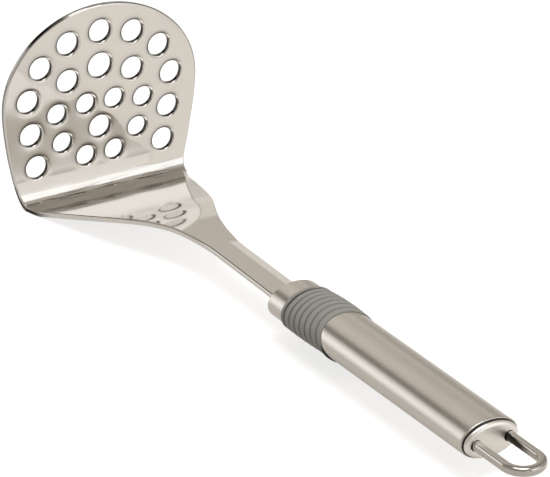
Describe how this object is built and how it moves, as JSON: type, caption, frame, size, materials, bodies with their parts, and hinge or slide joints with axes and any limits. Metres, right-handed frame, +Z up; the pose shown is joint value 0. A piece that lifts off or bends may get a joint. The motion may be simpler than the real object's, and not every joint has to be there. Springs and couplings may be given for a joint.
{
  "type": "potato masher",
  "caption": "Hand potato masher: perforated polished plate bent from one sheet with its neck, ribbed rubber grip, slant-cut steel handle tube, domed cap and wire hanging loop.",
  "frame": {"origin": "bottom centre of the whole object's box, level with the lowest line of the head's bend", "axes": "+Z up along the perforated plate, +X along the plate's width, -Y from the plate along the handle to the hanging loop"},
  "size_m": [0.0878, 0.295, 0.0797],
  "materials": {
    "head_steel": "mirror-polished stainless steel, fine handling marks",
    "satin_steel": "stainless steel, fine brushing along the handle",
    "grip_rubber": "dark grey moulded rubber, satin, ribbed",
    "seal_rubber": "black rubber",
    "cap_steel": "polished stainless steel",
    "loop_steel": "polished stainless wire",
    "plain_steel": "plain steel, hidden",
    "core_plastic": "black moulded plastic, hidden"
  },
  "bodies": {
    "root": {"masher_head": "head_steel", "front_ferrule": "satin_steel", "tang_bush": "core_plastic", "handle_core": "core_plastic", "tang_pins": "plain_steel", "grip_sleeve": "grip_rubber", "handle_tube": "satin_steel", "cap_gasket": "seal_rubber", "end_cap": "cap_steel", "loop_anchor": "core_plastic", "loop_retainer": "plain_steel", "hanging_loop": "loop_steel"}
  },
  "joints": []
}
